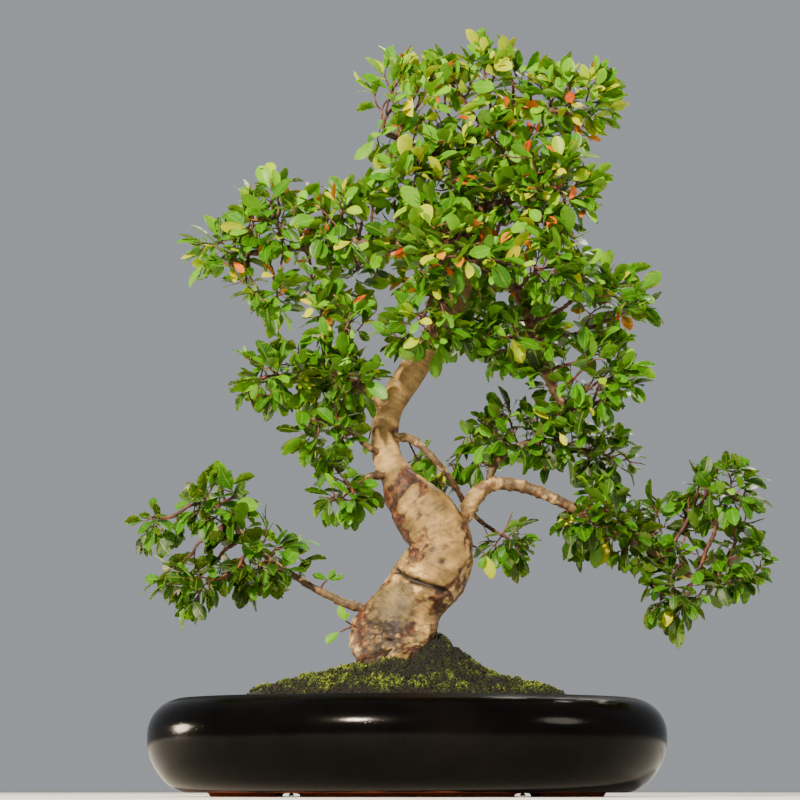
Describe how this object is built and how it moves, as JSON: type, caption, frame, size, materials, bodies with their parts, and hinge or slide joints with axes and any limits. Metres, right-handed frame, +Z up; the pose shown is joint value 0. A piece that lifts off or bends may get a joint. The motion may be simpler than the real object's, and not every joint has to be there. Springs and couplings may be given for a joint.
{
  "type": "bonsai elm in an oval pot",
  "caption": "S-curved small-leaved elm bonsai with a mossy soil mound, in a low oval black-glazed pot.",
  "frame": {"origin": "centre of the pot's underside, on the surface the pot stands on", "axes": "+Z up; +X along the pot's length, to the right of the tree's front; the front faces -Y"},
  "size_m": [0.3497, 0.2116, 0.4198],
  "materials": {
    "glaze": "gloss",
    "bark": "matte",
    "leaf": "satin",
    "moss": "matte",
    "soil": "matte",
    "gravel": "matte",
    "screen": "matte",
    "wire": "satin"
  },
  "bodies": {
    "root": {"pot": "glaze", "drain_screen_left": "screen", "drain_screen_right": "screen", "screen_clip_left": "wire", "screen_clip_right": "wire", "drainage_gravel": "gravel", "soil": "soil", "moss": "moss", "trunk": "bark", "branch_lower_left": "bark", "branch_right": "bark", "branch_centre_right": "bark", "branch_drooping": "bark", "branch_left_thin": "bark", "branch_left_low": "bark", "branch_left_middle": "bark", "branch_left_back": "bark", "branch_shoulder": "bark", "branch_right_hanging": "bark", "branch_top_left": "bark", "branch_crown_front": "bark", "branch_crown_right": "bark", "branch_crown_back": "bark", "foliage_crown_top_left": "leaf", "foliage_crown_top_centre": "leaf", "foliage_crown_top_right": "leaf", "foliage_crown_upper_left": "leaf", "foliage_crown_upper_right": "leaf", "foliage_crown_front": "leaf", "foliage_crown_right": "leaf", "foliage_crown_low_front": "leaf", "foliage_crown_low_right": "leaf", "foliage_crown_back_high": "leaf", "foliage_crown_back": "leaf", "foliage_crown_back_low": "leaf", "foliage_shoulder_inner": "leaf", "foliage_shoulder_back": "leaf", "foliage_shoulder_outer": "leaf", "foliage_shoulder_tip": "leaf", "foliage_shoulder_hanging": "leaf", "foliage_right_shoulder": "leaf", "foliage_right_shoulder_low": "leaf", "foliage_left_middle_top": "leaf", "foliage_left_middle_tip": "leaf", "foliage_left_middle_inner": "leaf", "foliage_left_middle_back": "leaf", "foliage_left_middle_low": "leaf", "foliage_left_middle_drop": "leaf", "foliage_centre_right": "leaf", "foliage_outer_centre_right": "leaf", "foliage_right_inner": "leaf", "foliage_right_middle": "leaf", "foliage_right_outer": "leaf", "foliage_right_tip": "leaf", "foliage_right_drop": "leaf", "foliage_under_branch": "leaf", "foliage_lower_left_top": "leaf", "foliage_lower_left_tip": "leaf", "foliage_lower_left_low": "leaf", "foliage_lower_left_inner": "leaf"}
  },
  "joints": []
}
